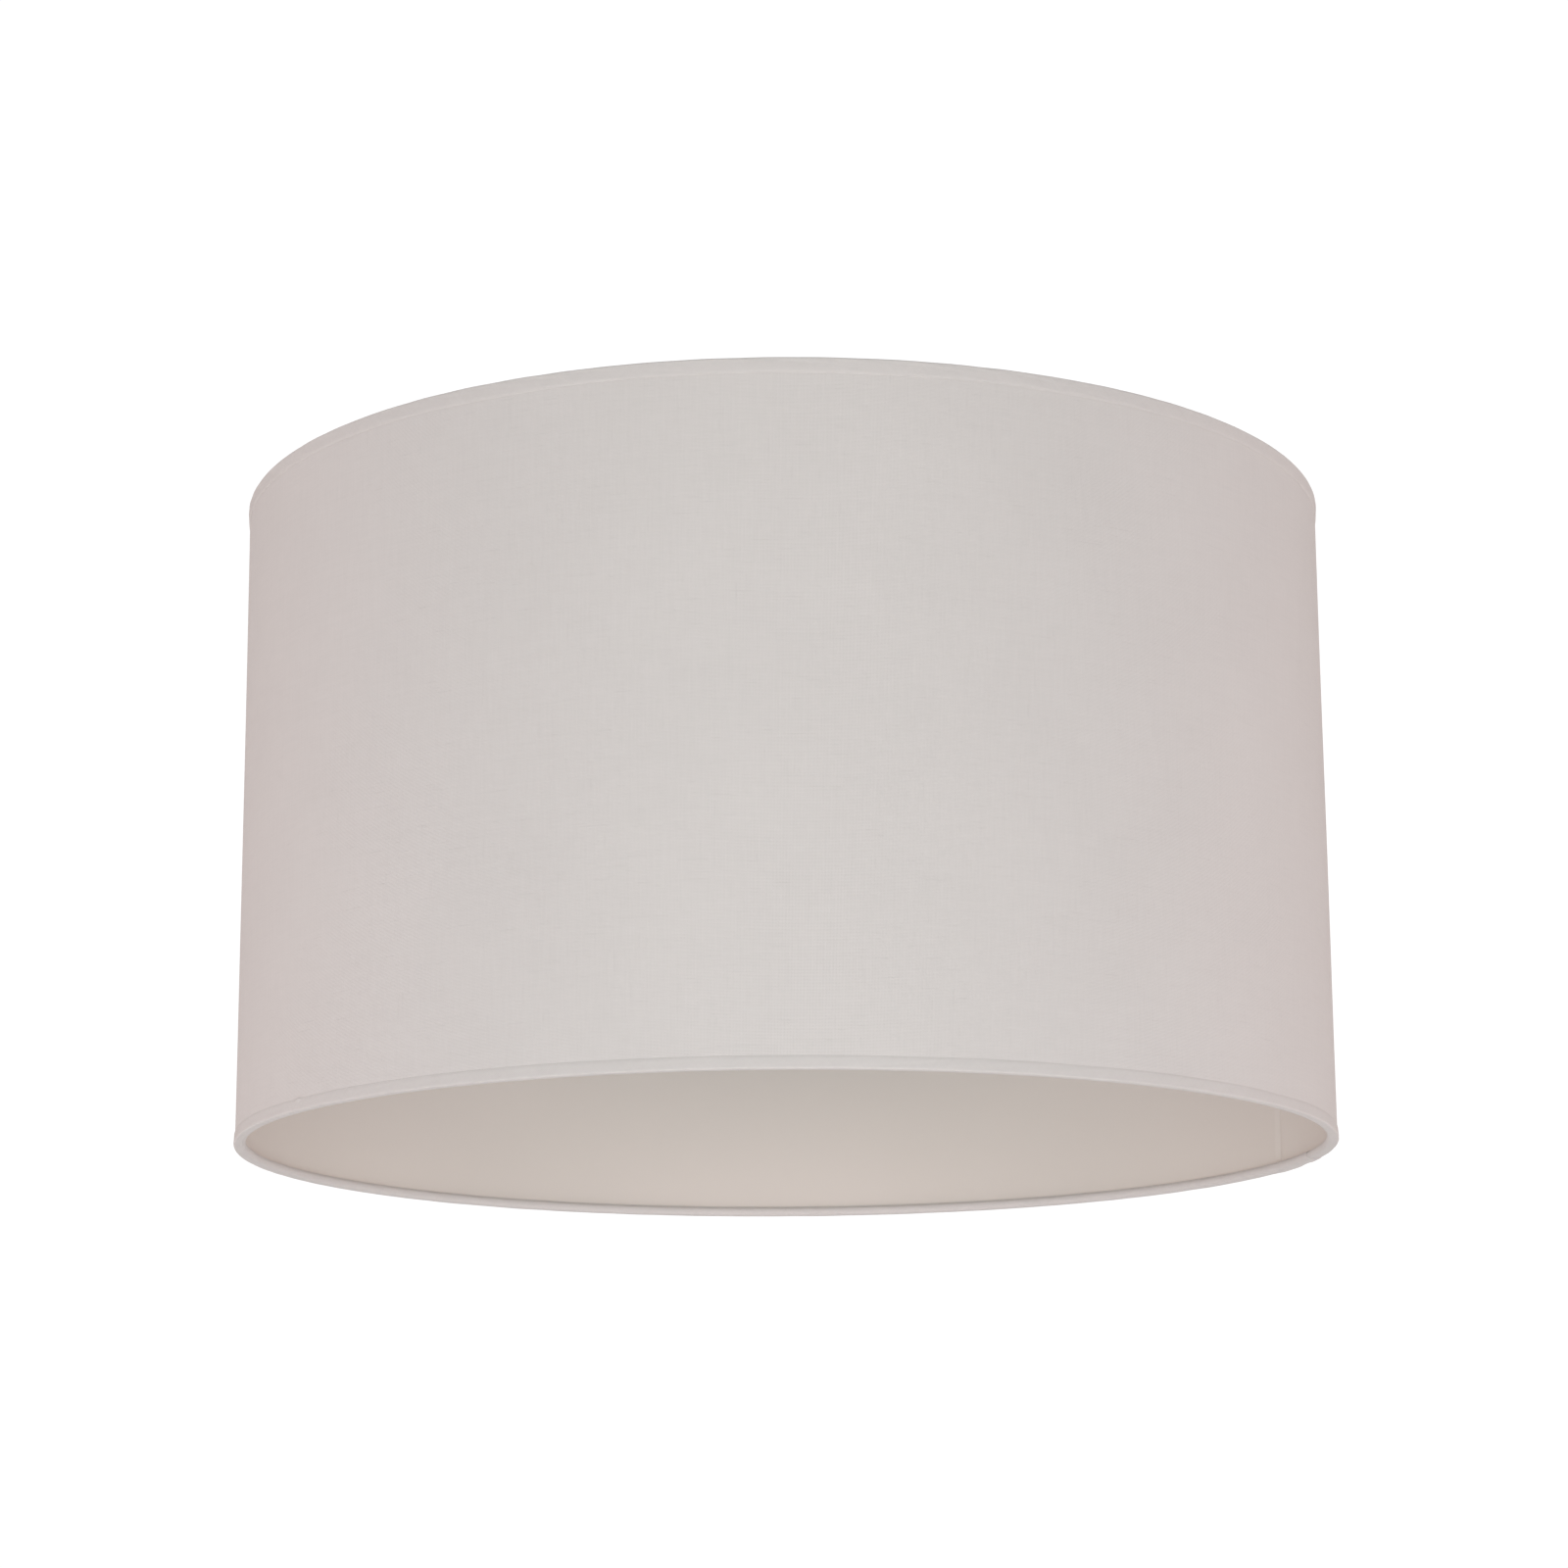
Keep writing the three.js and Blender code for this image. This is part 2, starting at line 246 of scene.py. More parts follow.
def wall_sheet(name, face, thickness, end_curl):
    """One layer of the wall. end_curl holds (onward, inward) steps past its outer end."""
    z = np.linspace(cover_low.z, cover_high.z, 46)
    angle = wall_angles()
    radius = face - thickness / 2 + wall_lift(angle)
    past_end = np.array(end_curl[::-1]).reshape(-1, 2)
    onward = np.concatenate([past_end[:, 0], np.zeros(len(angle))])
    radius = np.concatenate([radius[0] - past_end[:, 1], radius])
    angle = np.concatenate([np.full(len(past_end), angle[0]), angle])
    radius = radius[:, None] + wander(angle[:, None], z[None, :])
    cos, sin, onward = np.cos(angle)[:, None], np.sin(angle)[:, None], onward[:, None]
    middle = np.stack(
        [
            radius * cos + onward * sin,
            radius * sin - onward * cos,
            np.broadcast_to(z, radius.shape),
        ],
        axis=-1,
    )
    run = np.concatenate([[0], np.cumsum(np.linalg.norm(np.diff(middle[:, 0], axis=0), axis=1))])
    cloth_at = np.stack(np.meshgrid(run, z, indexing="ij"), axis=-1)
    return closed_sheet(name, middle, thickness, cloth_at, SHADE), run[-1]


def quarter_curl(radius, tail):
    """Steps of a quarter turn inwards at the wall's outer end, and a short straight tail."""
    steps = []
    for i in range(1, 7):
        turn = math.pi / 2 * i / 6
        steps.append((radius * math.sin(turn), radius * (1 - math.cos(turn))))
    for i in range(1, 4):
        steps.append((radius, radius + tail * i / 3))
    return steps


def make_wall():
    curl = quarter_curl(0.32 * MM, LINER_SHEET + 0.1 * MM)
    cover, run = wall_sheet("cover_cloth", COVER_FACE, COVER_CLOTH, curl)
    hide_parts("fabric_cover")
    liner, _ = wall_sheet("liner_sheet", LINER_FACE, LINER_SHEET, [])
    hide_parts("liner")
    return cover, liner


def make_tape():
    thickness = 0.15 * MM
    inset = 0.8 * MM / OUTER
    angle = np.linspace(OUTER_END + inset, INNER_END - inset, 9)[:, None]
    z = np.linspace(tape_low.z, tape_high.z, 46)[None, :]
    radius = COVER_FACE + 0.1 * MM + thickness / 2 + wander(angle, z)
    middle = np.stack(
        [radius * np.cos(angle), radius * np.sin(angle), np.broadcast_to(z, radius.shape)], axis=-1
    )
    cloth_at = np.stack(np.broadcast_arrays((angle - OUTER_END) * OUTER, z), axis=-1)
    tape = closed_sheet("seam_tape_strip", middle, thickness, cloth_at, SHADE)
    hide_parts("seam_tape")
    return tape


# ---------------------------------------------------------------- the rims
def edging_path(leg):
    """Middle line of the edging's section at the bottom rim, as (radius, height) points, with how
    far along it each one lies: down the outside, under the rim, round the ring and a little way up
    the liner."""
    half = EDGING_CLOTH / 2
    edge = np.array([0, 0.1, 0.2, 0.32, 0.48, 0.7, 1.0, 1.5, 2.2]) * MM
    heights = np.concatenate([leg - edge, np.linspace(leg - 3.0 * MM, RIM_CORNER, 5)])
    lean = LEG_LEAN * (heights - RIM_CORNER) / (leg - RIM_CORNER)
    points = list(zip(OUTER - half - lean, heights))
    for turn in np.linspace(0, -math.pi / 2, 7)[1:]:
        bend = RIM_CORNER - half
        points.append(
            (OUTER - RIM_CORNER + bend * math.cos(turn), RIM_CORNER + bend * math.sin(turn))
        )
    points += [(r, half) for r in np.linspace(OUTER - RIM_CORNER, RING_RADIUS, 5)[1:-1]]
    leaves = math.radians(98) - FULL_TURN
    for turn in np.linspace(-math.pi / 2, leaves, 18):
        radius = BEAD - half
        points.append((RING_RADIUS + radius * math.cos(turn), BEAD + radius * math.sin(turn)))
    start = Vector(points[-1])
    corner = start + Vector((math.sin(leaves), -math.cos(leaves))) * 1.3 * MM
    corner.x = INNER_FACE - half
    end = Vector((corner.x, corner.y + 0.5 * MM))
    for t in np.linspace(0, 1, 9)[1:]:
        point = start * (1 - t) ** 2 + corner * 2 * t * (1 - t) + end * t**2
        points.append((point.x, point.y))
    points = np.array(points)
    steps = np.linalg.norm(np.diff(points, axis=0), axis=1)
    return points, np.concatenate([[0], np.cumsum(steps)])


def arm_angles():
    angles = []
    for number in (1, 2, 3):
        low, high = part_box(f"spider_arm_{number}")
        angles.append(math.atan2(high.y + low.y, high.x + low.x) % FULL_TURN)
    return angles


def strip_angles(join_at, close_at):
    """Angles along an edging strip from its outer end to its hidden end, closer at some places."""
    angles = [np.linspace(join_at, join_at + FULL_TURN + EDGING_OVERLAP, 800)]
    for place in close_at:
        near = place + np.linspace(-4, 4, 37) * MM / OUTER
        angles.append(np.where(near < join_at, near + FULL_TURN, near))
    return np.unique(np.concatenate(angles).round(7))


def seam_bump(angle, ease):
    """1 where the edging rides over the wall's lap seam, 0 elsewhere. It follows the wall closely
    where ease is 0, and bridges the step where ease is 1."""
    turn = turn_from(SEAM_AT, angle) + SEAM_AT
    rise_start = HOLD_START - (3 + 8 * ease) * MM / OUTER
    fall_end = RAMP_END + 5 * ease * MM / OUTER
    return smooth_step(rise_start, HOLD_START, turn) - smooth_step(INNER_END, fall_end, turn)


def soft_noise(seed, count, waves):
    """A sum of random waves round the shade, about -1 to 1, which closes on itself."""
    random = np.random.default_rng(seed)
    phase = random.uniform(0, FULL_TURN, count)
    number = random.integers(waves[0], waves[1], count)
    weight = random.uniform(0.4, 1, count)
    weight = weight / np.sqrt((weight**2).sum())
    return lambda angle: sum(
        w * np.sin(n * angle + p) for w, n, p in zip(weight, number, phase)
    )


def notch_cut(strip, notches):
    """How much the strip is cut short at each place along it, so that the spider's legs pass."""
    gap = np.full(len(strip), np.inf)
    for notch in notches:
        gap = np.minimum(gap, np.abs(turn_from(notch, strip)) * OUTER)
    return 3.6 * MM * (1 - smooth_step(2.2 * MM, 2.8 * MM, gap))


def strip_ends(strip, along, full, join_at):
    """The angle of each point, with both ends cut on the bias, how far the outer end is raised
    where it lies on the hidden one, and how far the glue has pressed both flat."""
    slant = (full - along) / OUTER
    from_end = np.minimum(strip - strip[0], strip[-1] - strip) * OUTER
    angle = strip[:, None] - (1 - smooth_step(0, 30 * MM, from_end))[:, None] * slant
    past_end = (angle - (join_at - slant)) * OUTER
    raised = 1 - smooth_step(9.3 * MM, 13 * MM, past_end)
    pressed = (1 - smooth_step(10 * MM, 18 * MM, from_end))[:, None]
    return angle, raised, pressed


def edging_lift(angle, along, raised, near_edge, on_leg, seed, tucked):
    """How far the cloth stands off its path: over the join, in soft puckers and at the tuck."""
    puff_wave = soft_noise(seed, 12, (12, 90))
    bead_wave = soft_noise(seed + 1, 10, (20, 120))
    lift = (0.6 * EDGING_CLOTH + 0.03 * MM) * raised - 0.05 * MM * near_edge
    lift = lift + 0.03 * MM * puff_wave(angle + along * 60) * on_leg * (1 - near_edge)
    lift = lift + 0.02 * MM * bead_wave(angle - along * 40) * (1 - on_leg)
    if tucked:
        off = (angle - TUCK_AT) * OUTER / (1.9 * MM) + 0.5 * along / MM
        lift = lift + 0.42 * MM * np.exp(-(off**2) - (along / (1.2 * MM)) ** 2)
    return lift


def edging_grid(path, reach, strip, along, leg, join_at, top, seed):
    """The strip's middle surface, its thickness and its place in the flat cut."""
    r = np.interp(along, reach, path[:, 0])
    z = np.interp(along, reach, path[:, 1])
    angle, raised, pressed = strip_ends(strip, along, reach[-1], join_at)
    on_leg = 1 - smooth_step(leg - RIM_CORNER + 1.0 * MM, leg + 2.2 * MM, along)
    # the leg's raw edge is thinner and lies down on the cover
    near_edge = np.exp(-((along / (0.5 * MM)) ** 2))
    thickness = EDGING_CLOTH * (1 - 0.45 * near_edge) * (1 - 0.4 * pressed)
    lift = edging_lift(angle, along, raised, near_edge, on_leg, seed + 1, tucked=not top)
    slope = unit(np.gradient(np.stack([r, z], axis=-1), axis=1))
    out_r, out_z = -slope[..., 1], slope[..., 0]
    edge_wave = soft_noise(seed, 9, (3, 26))
    bump = seam_bump(angle, smooth_step(0, leg, along))
    r = r + out_r * lift + LAP_LIFT * bump * on_leg
    z = z + out_z * lift
    z = z + 0.09 * MM * edge_wave(angle) * smooth_step(leg, 0, along)
    if top:
        z = HEIGHT - z
    r = r + wander(angle, z)
    middle = np.stack([r * np.cos(angle), r * np.sin(angle), z], axis=-1)
    return middle, thickness, np.stack([angle * OUTER, along], axis=-1)


def make_edging(name, node, leg, join_at, notches, top, seed):
    path, reach = edging_path(leg)
    full = reach[-1]
    strip = strip_angles(join_at, notches or [TUCK_AT])
    along = (full - notch_cut(strip, notches))[:, None] * (reach / full)[None, :]
    middle, thickness, cloth_at = edging_grid(path, reach, strip, along, leg, join_at, top, seed)
    piece = closed_sheet(name, middle, thickness, cloth_at, SHADE)
    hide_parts(node)
    return piece


def make_ring(name, node, height, weld_at):
    """A wire ring with a slight swelling at its butt weld."""
    columns, sides = 720, 16
    angle = (np.arange(columns) * FULL_TURN / columns)[:, None]
    turn = (np.arange(sides) * FULL_TURN / sides)[None, :]
    off = turn_from(weld_at, angle) * OUTER
    wire = RING_WIRE / 2 + 0.06 * MM * np.exp(-((off / (1.5 * MM)) ** 2))
    radius = RING_RADIUS + wander(angle, height) + wire * np.cos(turn)
    points = np.stack(
        [radius * np.cos(angle), radius * np.sin(angle), height + wire * np.sin(turn)], axis=-1
    )
    faces = grid_quads(0, columns, sides, wrap_rows=True, wrap_columns=True)
    piece = new_piece(name, points.reshape(-1, 3), [faces], SHADE)
    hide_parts(node)
    return piece


def make_rims():
    bottom_weld, top_weld = SEAM_AT + 2.4, SEAM_AT + 3.6
    top_join = EDGING_JOIN + 0.05
    rings = [
        make_ring("bottom_ring_wire", "bottom_ring", BEAD, bottom_weld),
        make_ring("top_ring_wire", "top_ring", HEIGHT - BEAD, top_weld),
    ]
    edgings = [
        make_edging("bottom_edging_strip", "bottom_edging", BOTTOM_LEG, EDGING_JOIN, [], False, 11),
        make_edging("top_edging_strip", "top_edging", TOP_LEG, top_join, arm_angles(), True, 23),
    ]
    return rings, edgings


# ---------------------------------------------------------------- the spider
def swept(name, path, radii, body, sides=20):
    """A round wire along a path, with a radius at each point."""
    heading = unit(np.gradient(path, axis=0))
    side = unit(np.cross(heading, [0.0, 1.0, 0.0]))
    up = np.cross(side, heading)
    turn = (np.arange(sides) * FULL_TURN / sides)[None, :, None]
    points = side[:, None] * np.cos(turn) + up[:, None] * np.sin(turn)
    points = path[:, None] + points * radii[:, None, None]
    rows = len(path)
    first, last = np.arange(sides)[None, ::-1], (rows - 1) * sides + np.arange(sides)[None, :]
    faces = [grid_quads(0, rows, sides, wrap_columns=True)[:, ::-1], first, last]
    return new_piece(name, points.reshape(-1, 3), faces, body)


def arm_path():
    """The arm's centre line along +X, from under the carrier ring up to the top ring."""
    bend = LEG_RADIUS - ARM_BEND
    end = HEIGHT - BEAD - RING_WIRE / 2 + 0.25 * MM
    points = [(x, 0, ARM_LEVEL) for x in np.linspace(ARM_START, bend, 40)[:-1]]
    for turn in np.linspace(0, math.pi / 2, 14):
        points.append(
            (bend + ARM_BEND * math.sin(turn), 0, ARM_LEVEL + ARM_BEND * (1 - math.cos(turn)))
        )
    points += [(LEG_RADIUS, 0, z) for z in np.linspace(ARM_LEVEL + ARM_BEND, end, 10)[1:]]
    return np.array(points)


def with_round_ends(path, radius, steps=6):
    """The path and a radius for each of its points, with the edges of both ends rounded off."""
    cut = 0.35 * radius
    start, end = unit(path[1] - path[0]), unit(path[-1] - path[-2])
    turn = np.linspace(0, math.pi / 2, steps)
    inset = cut * (1 - np.cos(turn))[:, None]
    rising = radius - cut + cut * np.sin(turn)
    inside = ((path - path[0]) @ start > 1.1 * cut) & ((path[-1] - path) @ end > 1.1 * cut)
    points = np.concatenate([path[0] + inset * start, path[inside], path[-1] - inset[::-1] * end])
    return points, np.concatenate([rising, np.full(inside.sum(), radius), rising[::-1]])


def turn_about_axis(piece, angle):
    piece.data.transform(Matrix.Rotation(angle, 4, "Z"))


def weld_bead(name, centre, size, angle, seed):
    """A small uneven mound of weld metal."""
    rows, columns = 14, 20
    random = np.random.default_rng(seed)
    lump = random.normal(0, 0.05, (rows, columns))
    lump = (lump + np.roll(lump, 1, 0) + np.roll(lump, 1, 1) + np.roll(lump, -1, 1)) / 2
    tilt = np.linspace(-math.pi / 2, math.pi / 2, rows + 2)[1:-1][:, None]
    turn = (np.arange(columns) * FULL_TURN / columns)[None, :]
    ball = np.stack(
        np.broadcast_arrays(
            np.cos(tilt) * np.cos(turn), np.cos(tilt) * np.sin(turn), np.sin(tilt)
        ),
        axis=-1,
    )
    points = ball * (1 + lump)[..., None] * np.array(size) + np.array(centre)
    poles = [np.array(centre) - [0, 0, size[2]], np.array(centre) + [0, 0, size[2]]]
    points = np.concatenate([points.reshape(-1, 3), poles])
    faces = grid_quads(0, rows, columns, wrap_columns=True)[:, ::-1]
    last = rows * columns
    j = np.arange(columns)
    low = np.stack([np.full(columns, last), np.roll(j, -1), j], axis=-1)
    rim = last - columns + j
    high = np.stack([np.full(columns, last + 1), rim, np.roll(rim, -1)], axis=-1)
    piece = new_piece(name, points, [faces, low, high], SHADE)
    turn_about_axis(piece, angle)
    return piece


def make_spider():
    pieces = []
    path, radii = with_round_ends(arm_path(), ARM_WIRE / 2)
    carrier_at = (carrier_high.x - 0.2 * MM, 0, carrier_low.z - 0.2 * MM)
    ring_at = (LEG_RADIUS + 0.1 * MM, 0, HEIGHT - BEAD - RING_WIRE / 2 - 0.1 * MM)
    carrier_size = (2.2 * MM, 2.3 * MM, 1.0 * MM)
    ring_size = (2.0 * MM, 2.3 * MM, 0.8 * MM)
    for number, angle in enumerate(arm_angles(), 1):
        arm = swept(f"arm_wire_{number}", path, radii, SHADE)
        turn_about_axis(arm, angle)
        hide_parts(f"spider_arm_{number}")
        pieces += [
            arm,
            weld_bead(f"carrier_weld_{number}", carrier_at, carrier_size, angle, 40 + number),
            weld_bead(f"ring_weld_{number}", ring_at, ring_size, angle, 50 + number),
        ]
    return pieces


def make_carrier():
    hole = 21 * MM
    profile = [
        (hole, carrier_low.z),
        (carrier_high.x, carrier_low.z),
        (carrier_high.x, carrier_high.z),
        (hole, carrier_high.z),
    ]
    piece = turned("carrier_plate", rounded(profile, 0.35 * MM), 144, SHADE)
    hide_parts("carrier_ring")
    return piece


def make_reducer():
    hole, step, flange = 14.5 * MM, 20.7 * MM, reducer_high.x
    seat, face = reducer_low.z + 1.3 * MM, reducer_high.z
    groove = face - 0.3 * MM
    profile = [
        (hole, reducer_low.z),
        (step, reducer_low.z),
        (step, seat),
        (flange, seat),
        (flange, face),
        (19.6 * MM, face),
        (19.3 * MM, groove),
        (16.7 * MM, groove),
        (16.4 * MM, face),
        (hole, face),
    ]
    piece = turned("reducer_washer", rounded(profile, 0.4 * MM), 144, REDUCER)
    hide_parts("reducer_ring")
    return piece


# ---------------------------------------------------------------- materials
class Nodes:
    """A material's nodes, with short calls for the ones that are used again and again."""

    def __init__(self, name):
        self.material = bpy.data.materials.new(name)
        self.material.use_nodes = True
        self.tree = self.material.node_tree
        self.shader = self.tree.nodes["Principled BSDF"]

    def node(self, kind, **settings):
        made = self.tree.nodes.new("ShaderNode" + kind)
        for key, value in settings.items():
            setattr(made, key, value)
        return made

    def feed(self, socket, value):
        if isinstance(value, bpy.types.NodeSocket):
            self.tree.links.new(value, socket)
        else:
            socket.default_value = value

    def math(self, operation, first, second=0.0):
        made = self.node("Math", operation=operation)
        for socket, value in zip(made.inputs, (first, second)):
            self.feed(socket, value)
        return made.outputs[0]

    def add(self, first, second):
        return self.math("ADD", first, second)

    def times(self, first, second):
        return self.math("MULTIPLY", first, second)

    def vector(self, x=0.0, y=0.0, z=0.0):
        made = self.node("CombineXYZ")
        for socket, value in zip(made.inputs, (x, y, z)):
            self.feed(socket, value)
        return made.outputs[0]

    def noise(self, vector, scale=1.0, detail=2.0, rough=0.5):
        made = self.node("TexNoise")
        self.feed(made.inputs["Vector"], vector)
        made.inputs["Scale"].default_value = scale
        made.inputs["Detail"].default_value = detail
        made.inputs["Roughness"].default_value = rough
        return made.outputs["Fac"]

    def ramp(self, value, low, high, out_low=0.0, out_high=1.0):
        made = self.node("MapRange", interpolation_type="SMOOTHSTEP")
        for socket, number in zip(made.inputs, (value, low, high, out_low, out_high)):
            self.feed(socket, number)
        return made.outputs[0]

    def blend(self, share, dark, light):
        made = self.node("Mix", data_type="RGBA")
        self.feed(made.inputs["Factor"], share)
        made.inputs["A"].default_value = (*dark, 1)
        made.inputs["B"].default_value = (*light, 1)
        return made.outputs["Result"]

    def bump(self, height, distance, strength=1.0):
        made = self.node("Bump")
        made.inputs["Strength"].default_value = strength
        made.inputs["Distance"].default_value = distance
        self.feed(made.inputs["Height"], height)
        return made.outputs["Normal"]

    def set(self, **sockets):
        """Feeds the shader's sockets, named with _ for a space, and gives the material."""
        for name, value in sockets.items():
            self.feed(self.shader.inputs[name.replace("_", " ")], value)
        return self.material


def shade_of(colour, factor):
    return tuple(min(1.0, channel * factor) for channel in colour)


def weave_height(n, u, v, warp, weft):
    """The height of a plain weave, where warp and weft threads lie on top in turn."""
    across_warp = n.math("SINE", n.times(n.math("FRACT", u), math.pi))
    across_weft = n.math("SINE", n.times(n.math("FRACT", v), math.pi))
    turn = n.math("FRACT", n.times(n.add(warp, weft), 0.5))
    over = n.math("GREATER_THAN", turn, 0.25)
    warp_top = n.times(n.math("POWER", across_warp, 0.5), across_weft)
    weft_top = n.times(n.math("POWER", across_weft, 0.5), across_warp)
    under = n.math("SUBTRACT", 1.0, over)
    return n.add(n.times(over, warp_top), n.times(under, weft_top))


def thread_tones(n, u, v, warp, weft):
    """The tone of the threads, each with its own noise along it, and where they are slubbed."""
    length = 1 / 26.0  # thread pitches to noise units, so that a tone holds for some 10 mm
    along_u, along_v = n.times(u, length), n.times(v, length)
    warp_tone = n.noise(n.vector(n.times(warp, 7.31), along_v, 0.5))
    weft_tone = n.noise(n.vector(along_u, n.times(weft, 9.17), 4.5))
    warp_slub = n.noise(n.vector(n.times(warp, 3.77), along_v, 9.5))
    weft_slub = n.noise(n.vector(along_u, n.times(weft, 5.29), 7.5))
    slub = n.math("MAXIMUM", n.ramp(warp_slub, 0.66, 0.76), n.ramp(weft_slub, 0.64, 0.74))
    return n.add(n.times(warp_tone, 0.5), n.times(weft_tone, 0.5)), slub


def weave(name, colour, pitch, bias):
    """Plain-woven cloth. Threads follow the flat cut that the mesh stores, turned by bias."""
    n = Nodes(name)
    cut = n.node("Attribute", attribute_name="cloth").outputs["Vector"]
    turned_cut = n.node("VectorRotate", rotation_type="Z_AXIS")
    n.feed(turned_cut.inputs["Vector"], cut)
    turned_cut.inputs["Angle"].default_value = bias
    split = n.node("SeparateXYZ")
    n.feed(split.inputs[0], turned_cut.outputs[0])
    u = n.math("DIVIDE", split.outputs["X"], pitch)
    v = n.math("DIVIDE", split.outputs["Y"], pitch)
    warp, weft = n.math("FLOOR", u), n.math("FLOOR", v)
    height = weave_height(n, u, v, warp, weft)
    tone, slub = thread_tones(n, u, v, warp, weft)
    mottle = n.noise(n.node("TexCoord").outputs["Object"], scale=22.0, detail=3.0)
    tone = n.add(n.times(tone, 0.50), n.times(mottle, 0.25))
    # painted shade: the weave's high crowns are painted lighter and its hollows darker, by the
    # weave's height
    tone = n.add(tone, n.times(height, 0.20))
    tone = n.math("SUBTRACT", tone, n.times(slub, 0.09))
    lift = n.add(height, n.times(slub, 0.5))
    return n.set(
        Base_Color=n.blend(tone, shade_of(colour, 0.90), shade_of(colour, 1.10)),
        Roughness=n.ramp(height, 0.0, 1.0, 0.95, 0.82),
        Normal=n.bump(lift, 0.10 * MM, 0.6),
        Specular_IOR_Level=0.25,
        Sheen_Weight=0.12,
        Sheen_Roughness=0.5,
    )


def liner_film(name, colour):
    """Matt plastic sheet with a faint orange peel."""
    n = Nodes(name)
    place = n.node("TexCoord").outputs["Object"]
    clouds = n.noise(place, scale=14.0, detail=4.0)
    fine = n.noise(place, scale=1400.0, detail=2.0)
    return n.set(
        Base_Color=n.blend(clouds, shade_of(colour, 0.985), shade_of(colour, 1.015)),
        Roughness=n.ramp(clouds, 0.3, 0.7, 0.56, 0.66),
        Normal=n.bump(fine, 0.03 * MM, 0.5),
        Specular_IOR_Level=0.3,
    )


def tape_film(name, colour):
    n = Nodes(name)
    place = n.node("TexCoord").outputs["Object"]
    smear = n.noise(place, scale=180.0, detail=3.0)
    return n.set(
        Base_Color=n.blend(smear, shade_of(colour, 0.94), shade_of(colour, 1.03)),
        Roughness=n.ramp(smear, 0.3, 0.7, 0.3, 0.5),
    )


def drawn_wire(name, colour):
    """Bright wire with the fine scratches of the die along it and dull patches."""
    n = Nodes(name)
    place = n.node("TexCoord").outputs["Object"]
    split = n.node("SeparateXYZ")
    n.feed(split.inputs[0], place)
    round_it = n.math("ARCTAN2", split.outputs["Y"], split.outputs["X"])
    scratch = n.noise(n.vector(n.times(round_it, 2.0), n.times(split.outputs["Z"], 6000.0)))
    patch = n.noise(place, scale=60.0, detail=3.0)
    return n.set(
        Base_Color=n.blend(patch, shade_of(colour, 0.85), shade_of(colour, 1.08)),
        Roughness=n.ramp(n.add(scratch, patch), 0.6, 1.4, 0.28, 0.5),
        Normal=n.bump(scratch, 0.01 * MM, 0.3),
        Metallic=1.0,
    )


def powder_coat(name, colour):
    """White powder coat: orange peel, and a little greyer in patches."""
    n = Nodes(name)
    place = n.node("TexCoord").outputs["Object"]
    peel = n.noise(place, scale=1500.0, detail=2.0)
    patch = n.noise(place, scale=45.0, detail=4.0)
    return n.set(
        Base_Color=n.blend(patch, shade_of(colour, 0.93), shade_of(colour, 1.02)),
        Roughness=n.ramp(patch, 0.3, 0.7, 0.34, 0.46),
        Normal=n.bump(peel, 0.03 * MM, 0.5),
        Coat_Weight=0.2,
        Coat_Roughness=0.3,
    )


def moulded_plastic(name, colour):
    """Satin moulded plastic with a fine spark-eroded grain and faint scuffs."""
    n = Nodes(name)
    place = n.node("TexCoord").outputs["Object"]
    grain = n.noise(place, scale=2600.0, detail=3.0)
    scuff = n.noise(place, scale=120.0, detail=5.0, rough=0.7)
    return n.set(
        Base_Color=n.blend(scuff, shade_of(colour, 0.955), shade_of(colour, 1.01)),
        Roughness=n.ramp(scuff, 0.35, 0.65, 0.36, 0.5),
        Normal=n.bump(grain, 0.02 * MM, 0.5),
    )


def dress(pieces, material):
    for piece in pieces:
        piece.data.materials.clear()
        piece.data.materials.append(material)


# ---------------------------------------------------------------- camera, floor and light
def make_camera():
    """Below the shade and looking up at it, level with what the picture shows."""
    data = bpy.data.cameras.new("camera")
    camera = bpy.data.objects.new("camera", data)
    bpy.context.scene.collection.objects.link(camera)
    distance = 7.2995 * OUTER  # from the shade's axis
    below = 0.975 * OUTER  # below the bottom rim
    pitch, roll = math.radians(12.848), math.radians(-0.346)
    forward = Vector((0, math.cos(pitch), math.sin(pitch)))
    right = Vector((1, 0, 0))
    up = right.cross(forward)
    side = right * math.cos(roll) + up * math.sin(roll)
    top = up * math.cos(roll) - right * math.sin(roll)
    camera.matrix_world = Matrix.Translation((0, -distance, -below)) @ Matrix(
        (side, top, -forward)
    ).transposed().to_4x4()
    data.sensor_width = 36
    data.lens = 92.21
    data.clip_start, data.clip_end = 0.05, 50
    bpy.context.scene.camera = camera


def make_floor():
    """A pale floor, well below the hanging shade."""
    half, level = 7.0, -1.75
    mesh = bpy.data.meshes.new("floor")
    square = [(-half, -half, level), (half, -half, level), (half, half, level), (-half, half, level)]
    mesh.from_pydata(square, [], [(0, 1, 2, 3)])
    floor = bpy.data.objects.new("floor", mesh)
    bpy.context.scene.collection.objects.link(floor)
    n = Nodes("pale_floor")
    mesh.materials.append(n.set(Base_Color=(0.86, 0.85, 0.84, 1), Roughness=0.9))


def softbox(name, place, size, power):
    """A round soft light aimed at the shade. power is in watts of red, green and blue."""
    data = bpy.data.lights.new(name, "AREA")
    data.shape = "DISK"
    data.size = size
    data.energy = max(power)
    data.color = [part / max(power) for part in power]
    lamp = bpy.data.objects.new(name, data)
    bpy.context.scene.collection.objects.link(lamp)
    aim = Vector((0, 0, 0.1)) - Vector(place)
    lamp.matrix_world = (
        Matrix.Translation(place) @ aim.to_track_quat("-Z", "Y").to_matrix().to_4x4()
    )
    lamp.visible_camera = False


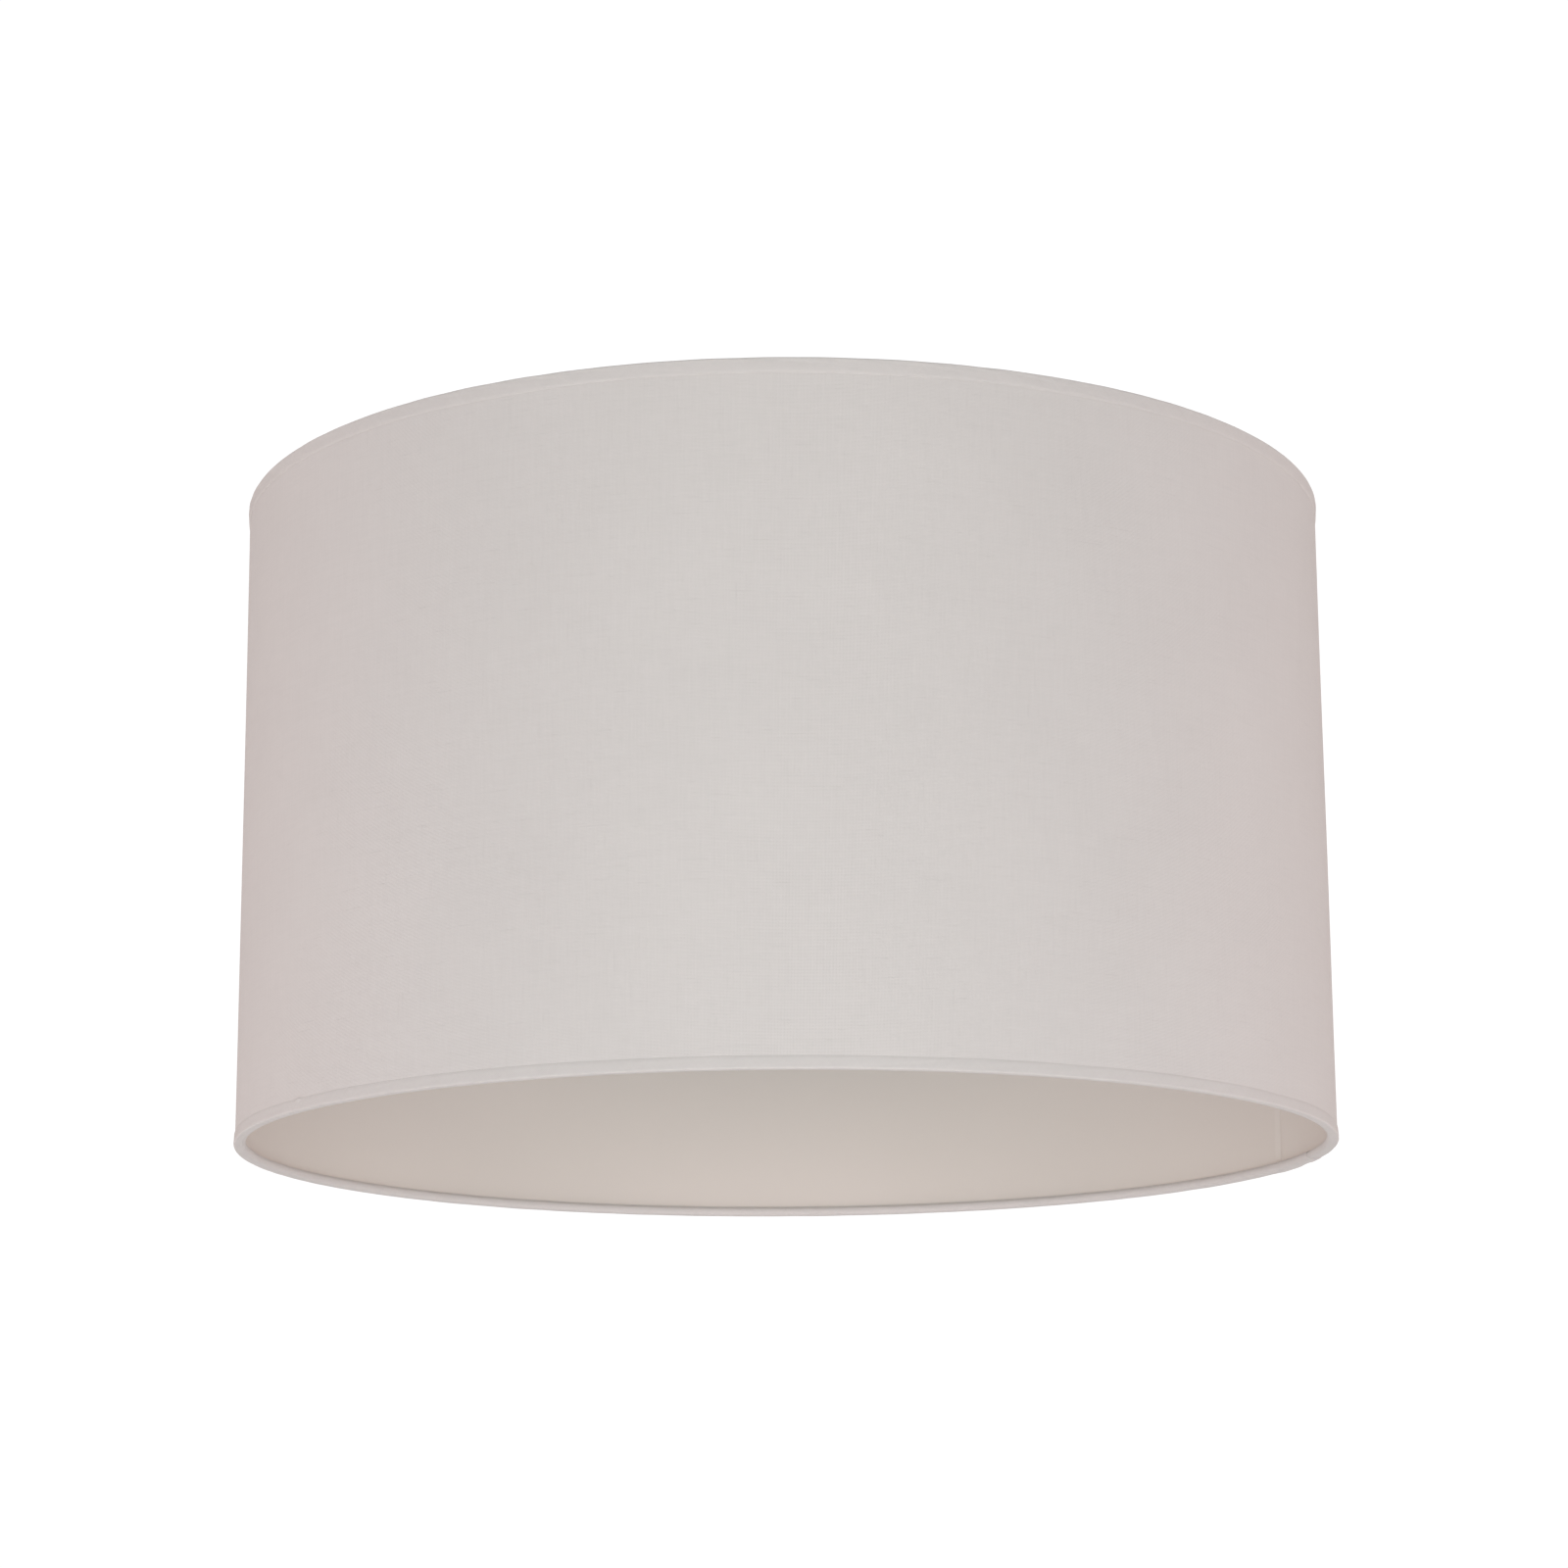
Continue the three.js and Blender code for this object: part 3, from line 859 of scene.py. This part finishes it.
def make_surround():
    """White to the camera. As light it is a glow from the backdrop and a weaker one from above."""
    world = bpy.data.worlds.new("studio")
    bpy.context.scene.world = world
    world.use_nodes = True
    tree = world.node_tree

    def math_node(operation, first, second):
        made = tree.nodes.new("ShaderNodeMath")
        made.operation = operation
        for socket, value in zip(made.inputs, (first, second)):
            if isinstance(value, bpy.types.NodeSocket):
                tree.links.new(value, socket)
            else:
                socket.default_value = value
        return made.outputs[0]

    heading = tree.nodes.new("ShaderNodeSeparateXYZ")
    tree.links.new(tree.nodes.new("ShaderNodeTexCoord").outputs["Generated"], heading.inputs[0])
    behind = math_node("POWER", math_node("MAXIMUM", heading.outputs["Y"], 0.0), 2.0)
    above = math_node("MAXIMUM", heading.outputs["Z"], 0.0)
    glow = math_node("MULTIPLY_ADD", behind, 0.7)
    glow.node.inputs[2].default_value = 0.03
    glow = math_node("ADD", glow, math_node("MULTIPLY", above, 0.7))
    seen = tree.nodes.new("ShaderNodeLightPath").outputs["Is Camera Ray"]
    level = tree.nodes.new("ShaderNodeMix")
    tree.links.new(seen, level.inputs["Factor"])
    tree.links.new(glow, level.inputs["A"])
    level.inputs["B"].default_value = 1.05
    tree.links.new(level.outputs["Result"], tree.nodes["Background"].inputs["Strength"])
    tree.nodes["Background"].inputs["Color"].default_value = (1, 1, 1, 1)


def make_light():
    make_surround()
    softbox("front", (0, -2.0, -0.3), 1.0, (10.9, 11.8, 10.1))
    softbox("low_front", (0, -1.9, -0.6), 0.6, (3.7, 5.0, 6.4))
    for side, name in ((-1, "left"), (1, "right")):
        softbox(f"{name}_front", (side * 1.7, -1.0, -0.4), 1.0, (12.5, 9.9, 10.4))
        softbox(f"{name}_back", (side * 1.9, 1.1, 0.0), 1.0, (7.1, 6.3, 5.3))
    bpy.context.scene.view_settings.view_transform = "Standard"
    bpy.context.scene.view_settings.look = "None"


# ---------------------------------------------------------------- the scene
make_camera()
cover, liner = make_wall()
tape = make_tape()
rings, edgings = make_rims()
spider = make_spider()
carrier = make_carrier()
reducer = make_reducer()

CLOTH = (0.66, 0.625, 0.605)
dress([cover], weave("cover_weave", CLOTH, 0.45 * MM, 0.0))
dress(edgings, weave("edging_weave", shade_of(CLOTH, 0.97), 0.45 * MM, math.radians(45)))
dress([liner], liner_film("liner_film", (0.659, 0.610, 0.562)))
dress([tape], tape_film("tape_film", (0.80, 0.77, 0.70)))
dress(rings, drawn_wire("drawn_wire", (0.62, 0.62, 0.61)))
dress([*spider, carrier], powder_coat("powder_coat", (0.86, 0.86, 0.84)))
dress([reducer], moulded_plastic("moulded_plastic", (0.88, 0.88, 0.86)))

make_floor()
make_light()
